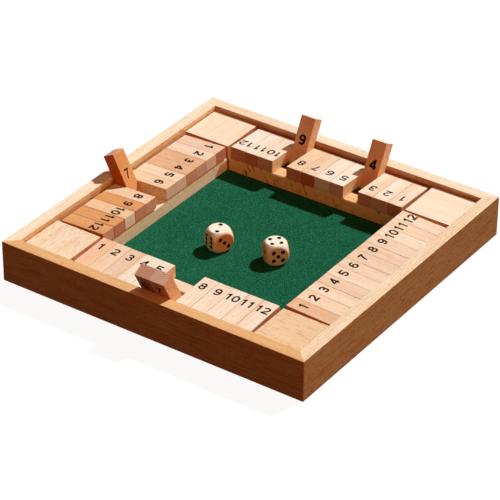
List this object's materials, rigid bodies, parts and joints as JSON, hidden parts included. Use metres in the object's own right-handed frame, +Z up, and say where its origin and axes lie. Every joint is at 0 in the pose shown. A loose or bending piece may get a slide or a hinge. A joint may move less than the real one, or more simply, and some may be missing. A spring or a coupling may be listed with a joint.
{
  "type": "shut the box game",
  "caption": "Square wooden tray game: rows of numbered tiles flip up on a rod along each wall round a felt dice well, with two round-cornered dice.",
  "frame": {"origin": "on the table surface, under the middle of the square tray", "axes": "+Z up; the front row of tiles lies at -Y and reads from -X to +X, the right row at +X, the back row at +Y and the left row at -X"},
  "size_m": [0.34, 0.34, 0.0686],
  "materials": {
    "frame_beech": "clear satin lacquer over beech",
    "base_plywood": "sanded plywood",
    "green_felt": "short napped felt",
    "block_beech": "clear satin lacquer over pale beech",
    "rail_beech": "sanded beech",
    "steel_rod": "drawn steel rod",
    "tile_pale": "clear satin lacquer over pale beech",
    "tile_amber": "clear satin lacquer over amber beech",
    "tile_rose": "clear satin lacquer over reddish beech",
    "dice_wood": "polished pale wood with black pips",
    "number_ink": "black printing ink"
  },
  "bodies": {
    "tray": {"frame_front": "frame_beech", "frame_right": "frame_beech", "frame_back": "frame_beech", "frame_left": "frame_beech", "base_board": "base_plywood", "felt": "green_felt", "corner_blocks": "block_beech", "rest_rails": "rail_beech", "axle_rods": "steel_rod"},
    "front_tile_01": {"front_tile_01": "tile_rose"},
    "front_tile_02": {"front_tile_02": "tile_pale"},
    "front_tile_03": {"front_tile_03": "tile_amber"},
    "front_tile_04": {"front_tile_04": "tile_pale"},
    "front_tile_05": {"front_tile_05": "tile_pale"},
    "front_tile_06": {"front_tile_06": "tile_amber"},
    "front_tile_07": {"front_tile_07": "tile_amber"},
    "front_tile_08": {"front_tile_08": "tile_rose"},
    "front_tile_09": {"front_tile_09": "tile_pale"},
    "front_tile_10": {"front_tile_10": "tile_pale"},
    "front_tile_11": {"front_tile_11": "tile_pale"},
    "front_tile_12": {"front_tile_12": "tile_pale"},
    "right_tile_01": {"right_tile_01": "tile_amber"},
    "right_tile_02": {"right_tile_02": "tile_pale"},
    "right_tile_03": {"right_tile_03": "tile_pale"},
    "right_tile_04": {"right_tile_04": "tile_amber"},
    "right_tile_05": {"right_tile_05": "tile_pale"},
    "right_tile_06": {"right_tile_06": "tile_amber"},
    "right_tile_07": {"right_tile_07": "tile_amber"},
    "right_tile_08": {"right_tile_08": "tile_amber"},
    "right_tile_09": {"right_tile_09": "tile_amber"},
    "right_tile_10": {"right_tile_10": "tile_pale"},
    "right_tile_11": {"right_tile_11": "tile_pale"},
    "right_tile_12": {"right_tile_12": "tile_pale"},
    "back_tile_01": {"back_tile_01": "tile_pale"},
    "back_tile_02": {"back_tile_02": "tile_pale"},
    "back_tile_03": {"back_tile_03": "tile_pale"},
    "back_tile_04": {"back_tile_04": "tile_rose"},
    "back_tile_05": {"back_tile_05": "tile_pale"},
    "back_tile_06": {"back_tile_06": "tile_pale"},
    "back_tile_07": {"back_tile_07": "tile_amber"},
    "back_tile_08": {"back_tile_08": "tile_pale"},
    "back_tile_09": {"back_tile_09": "tile_rose"},
    "back_tile_10": {"back_tile_10": "tile_pale"},
    "back_tile_11": {"back_tile_11": "tile_pale"},
    "back_tile_12": {"back_tile_12": "tile_pale"},
    "left_tile_01": {"left_tile_01": "tile_amber"},
    "left_tile_02": {"left_tile_02": "tile_pale"},
    "left_tile_03": {"left_tile_03": "tile_amber"},
    "left_tile_04": {"left_tile_04": "tile_amber"},
    "left_tile_05": {"left_tile_05": "tile_pale"},
    "left_tile_06": {"left_tile_06": "tile_pale"},
    "left_tile_07": {"left_tile_07": "tile_amber"},
    "left_tile_08": {"left_tile_08": "tile_pale"},
    "left_tile_09": {"left_tile_09": "tile_amber"},
    "left_tile_10": {"left_tile_10": "tile_pale"},
    "left_tile_11": {"left_tile_11": "tile_amber"},
    "left_tile_12": {"left_tile_12": "tile_amber"},
    "die_left": {"die_left": "dice_wood"},
    "die_right": {"die_right": "dice_wood"}
  },
  "joints": [
    {"name": "front_tile_06_hinge", "type": "hinge", "parent": "tray", "child": "front_tile_06", "pos_m": [-0.00835, -0.1432, 0.0305], "axis": [1, 0, 0], "range_deg": [-114.5, 0]},
    {"name": "front_tile_07_hinge", "type": "hinge", "parent": "tray", "child": "front_tile_07", "pos_m": [0.00835, -0.1432, 0.0305], "axis": [1, 0, 0], "range_deg": [-114.5, 0]},
    {"name": "back_tile_04_hinge", "type": "hinge", "parent": "tray", "child": "back_tile_04", "pos_m": [0.04175, 0.1432, 0.0305], "axis": [-1, 0, 0], "range_deg": [-114.5, 0]},
    {"name": "back_tile_09_hinge", "type": "hinge", "parent": "tray", "child": "back_tile_09", "pos_m": [-0.04175, 0.1432, 0.0305], "axis": [-1, 0, 0], "range_deg": [-114.5, 0]},
    {"name": "left_tile_07_hinge", "type": "hinge", "parent": "tray", "child": "left_tile_07", "pos_m": [-0.1432, -0.00835, 0.0305], "axis": [0, -1, 0], "range_deg": [-114.5, 0]},
    {"name": "die_left_lift", "type": "slide", "parent": "tray", "child": "die_left", "axis": [0, 0, 1], "range_m": [0, 0.06]},
    {"name": "die_right_lift", "type": "slide", "parent": "tray", "child": "die_right", "axis": [0, 0, 1], "range_m": [0, 0.06]},
    {"name": "front_tile_01_hinge", "type": "hinge", "parent": "tray", "child": "front_tile_01", "pos_m": [-0.09185, -0.1432, 0.0305], "axis": [1, 0, 0], "range_deg": [0, 114.5]},
    {"name": "right_tile_01_hinge", "type": "hinge", "parent": "tray", "child": "right_tile_01", "pos_m": [0.1432, -0.09185, 0.0305], "axis": [0, 1, 0], "range_deg": [0, 114.5]},
    {"name": "back_tile_01_hinge", "type": "hinge", "parent": "tray", "child": "back_tile_01", "pos_m": [0.09185, 0.1432, 0.0305], "axis": [-1, 0, 0], "range_deg": [0, 114.5]},
    {"name": "left_tile_01_hinge", "type": "hinge", "parent": "tray", "child": "left_tile_01", "pos_m": [-0.1432, 0.09185, 0.0305], "axis": [0, -1, 0], "range_deg": [0, 114.5]},
    {"name": "front_tile_02_hinge", "type": "hinge", "parent": "tray", "child": "front_tile_02", "pos_m": [-0.07515, -0.1432, 0.0305], "axis": [1, 0, 0], "range_deg": [0, 114.5]},
    {"name": "right_tile_02_hinge", "type": "hinge", "parent": "tray", "child": "right_tile_02", "pos_m": [0.1432, -0.07515, 0.0305], "axis": [0, 1, 0], "range_deg": [0, 114.5]},
    {"name": "back_tile_02_hinge", "type": "hinge", "parent": "tray", "child": "back_tile_02", "pos_m": [0.07515, 0.1432, 0.0305], "axis": [-1, 0, 0], "range_deg": [0, 114.5]},
    {"name": "left_tile_02_hinge", "type": "hinge", "parent": "tray", "child": "left_tile_02", "pos_m": [-0.1432, 0.07515, 0.0305], "axis": [0, -1, 0], "range_deg": [0, 114.5]},
    {"name": "front_tile_03_hinge", "type": "hinge", "parent": "tray", "child": "front_tile_03", "pos_m": [-0.05845, -0.1432, 0.0305], "axis": [1, 0, 0], "range_deg": [0, 114.5]},
    {"name": "right_tile_03_hinge", "type": "hinge", "parent": "tray", "child": "right_tile_03", "pos_m": [0.1432, -0.05845, 0.0305], "axis": [0, 1, 0], "range_deg": [0, 114.5]},
    {"name": "back_tile_03_hinge", "type": "hinge", "parent": "tray", "child": "back_tile_03", "pos_m": [0.05845, 0.1432, 0.0305], "axis": [-1, 0, 0], "range_deg": [0, 114.5]},
    {"name": "left_tile_03_hinge", "type": "hinge", "parent": "tray", "child": "left_tile_03", "pos_m": [-0.1432, 0.05845, 0.0305], "axis": [0, -1, 0], "range_deg": [0, 114.5]},
    {"name": "front_tile_04_hinge", "type": "hinge", "parent": "tray", "child": "front_tile_04", "pos_m": [-0.04175, -0.1432, 0.0305], "axis": [1, 0, 0], "range_deg": [0, 114.5]},
    {"name": "right_tile_04_hinge", "type": "hinge", "parent": "tray", "child": "right_tile_04", "pos_m": [0.1432, -0.04175, 0.0305], "axis": [0, 1, 0], "range_deg": [0, 114.5]},
    {"name": "left_tile_04_hinge", "type": "hinge", "parent": "tray", "child": "left_tile_04", "pos_m": [-0.1432, 0.04175, 0.0305], "axis": [0, -1, 0], "range_deg": [0, 114.5]},
    {"name": "front_tile_05_hinge", "type": "hinge", "parent": "tray", "child": "front_tile_05", "pos_m": [-0.02505, -0.1432, 0.0305], "axis": [1, 0, 0], "range_deg": [0, 114.5]},
    {"name": "right_tile_05_hinge", "type": "hinge", "parent": "tray", "child": "right_tile_05", "pos_m": [0.1432, -0.02505, 0.0305], "axis": [0, 1, 0], "range_deg": [0, 114.5]},
    {"name": "back_tile_05_hinge", "type": "hinge", "parent": "tray", "child": "back_tile_05", "pos_m": [0.02505, 0.1432, 0.0305], "axis": [-1, 0, 0], "range_deg": [0, 114.5]},
    {"name": "left_tile_05_hinge", "type": "hinge", "parent": "tray", "child": "left_tile_05", "pos_m": [-0.1432, 0.02505, 0.0305], "axis": [0, -1, 0], "range_deg": [0, 114.5]},
    {"name": "right_tile_06_hinge", "type": "hinge", "parent": "tray", "child": "right_tile_06", "pos_m": [0.1432, -0.00835, 0.0305], "axis": [0, 1, 0], "range_deg": [0, 114.5]},
    {"name": "back_tile_06_hinge", "type": "hinge", "parent": "tray", "child": "back_tile_06", "pos_m": [0.00835, 0.1432, 0.0305], "axis": [-1, 0, 0], "range_deg": [0, 114.5]},
    {"name": "left_tile_06_hinge", "type": "hinge", "parent": "tray", "child": "left_tile_06", "pos_m": [-0.1432, 0.00835, 0.0305], "axis": [0, -1, 0], "range_deg": [0, 114.5]},
    {"name": "right_tile_07_hinge", "type": "hinge", "parent": "tray", "child": "right_tile_07", "pos_m": [0.1432, 0.00835, 0.0305], "axis": [0, 1, 0], "range_deg": [0, 114.5]},
    {"name": "back_tile_07_hinge", "type": "hinge", "parent": "tray", "child": "back_tile_07", "pos_m": [-0.00835, 0.1432, 0.0305], "axis": [-1, 0, 0], "range_deg": [0, 114.5]},
    {"name": "front_tile_08_hinge", "type": "hinge", "parent": "tray", "child": "front_tile_08", "pos_m": [0.02505, -0.1432, 0.0305], "axis": [1, 0, 0], "range_deg": [0, 114.5]},
    {"name": "right_tile_08_hinge", "type": "hinge", "parent": "tray", "child": "right_tile_08", "pos_m": [0.1432, 0.02505, 0.0305], "axis": [0, 1, 0], "range_deg": [0, 114.5]},
    {"name": "back_tile_08_hinge", "type": "hinge", "parent": "tray", "child": "back_tile_08", "pos_m": [-0.02505, 0.1432, 0.0305], "axis": [-1, 0, 0], "range_deg": [0, 114.5]},
    {"name": "left_tile_08_hinge", "type": "hinge", "parent": "tray", "child": "left_tile_08", "pos_m": [-0.1432, -0.02505, 0.0305], "axis": [0, -1, 0], "range_deg": [0, 114.5]},
    {"name": "front_tile_09_hinge", "type": "hinge", "parent": "tray", "child": "front_tile_09", "pos_m": [0.04175, -0.1432, 0.0305], "axis": [1, 0, 0], "range_deg": [0, 114.5]},
    {"name": "right_tile_09_hinge", "type": "hinge", "parent": "tray", "child": "right_tile_09", "pos_m": [0.1432, 0.04175, 0.0305], "axis": [0, 1, 0], "range_deg": [0, 114.5]},
    {"name": "left_tile_09_hinge", "type": "hinge", "parent": "tray", "child": "left_tile_09", "pos_m": [-0.1432, -0.04175, 0.0305], "axis": [0, -1, 0], "range_deg": [0, 114.5]},
    {"name": "front_tile_10_hinge", "type": "hinge", "parent": "tray", "child": "front_tile_10", "pos_m": [0.05845, -0.1432, 0.0305], "axis": [1, 0, 0], "range_deg": [0, 114.5]},
    {"name": "right_tile_10_hinge", "type": "hinge", "parent": "tray", "child": "right_tile_10", "pos_m": [0.1432, 0.05845, 0.0305], "axis": [0, 1, 0], "range_deg": [0, 114.5]},
    {"name": "back_tile_10_hinge", "type": "hinge", "parent": "tray", "child": "back_tile_10", "pos_m": [-0.05845, 0.1432, 0.0305], "axis": [-1, 0, 0], "range_deg": [0, 114.5]},
    {"name": "left_tile_10_hinge", "type": "hinge", "parent": "tray", "child": "left_tile_10", "pos_m": [-0.1432, -0.05845, 0.0305], "axis": [0, -1, 0], "range_deg": [0, 114.5]},
    {"name": "front_tile_11_hinge", "type": "hinge", "parent": "tray", "child": "front_tile_11", "pos_m": [0.07515, -0.1432, 0.0305], "axis": [1, 0, 0], "range_deg": [0, 114.5]},
    {"name": "right_tile_11_hinge", "type": "hinge", "parent": "tray", "child": "right_tile_11", "pos_m": [0.1432, 0.07515, 0.0305], "axis": [0, 1, 0], "range_deg": [0, 114.5]},
    {"name": "back_tile_11_hinge", "type": "hinge", "parent": "tray", "child": "back_tile_11", "pos_m": [-0.07515, 0.1432, 0.0305], "axis": [-1, 0, 0], "range_deg": [0, 114.5]},
    {"name": "left_tile_11_hinge", "type": "hinge", "parent": "tray", "child": "left_tile_11", "pos_m": [-0.1432, -0.07515, 0.0305], "axis": [0, -1, 0], "range_deg": [0, 114.5]},
    {"name": "front_tile_12_hinge", "type": "hinge", "parent": "tray", "child": "front_tile_12", "pos_m": [0.09185, -0.1432, 0.0305], "axis": [1, 0, 0], "range_deg": [0, 114.5]},
    {"name": "right_tile_12_hinge", "type": "hinge", "parent": "tray", "child": "right_tile_12", "pos_m": [0.1432, 0.09185, 0.0305], "axis": [0, 1, 0], "range_deg": [0, 114.5]},
    {"name": "back_tile_12_hinge", "type": "hinge", "parent": "tray", "child": "back_tile_12", "pos_m": [-0.09185, 0.1432, 0.0305], "axis": [-1, 0, 0], "range_deg": [0, 114.5]},
    {"name": "left_tile_12_hinge", "type": "hinge", "parent": "tray", "child": "left_tile_12", "pos_m": [-0.1432, -0.09185, 0.0305], "axis": [0, -1, 0], "range_deg": [0, 114.5]}
  ]
}
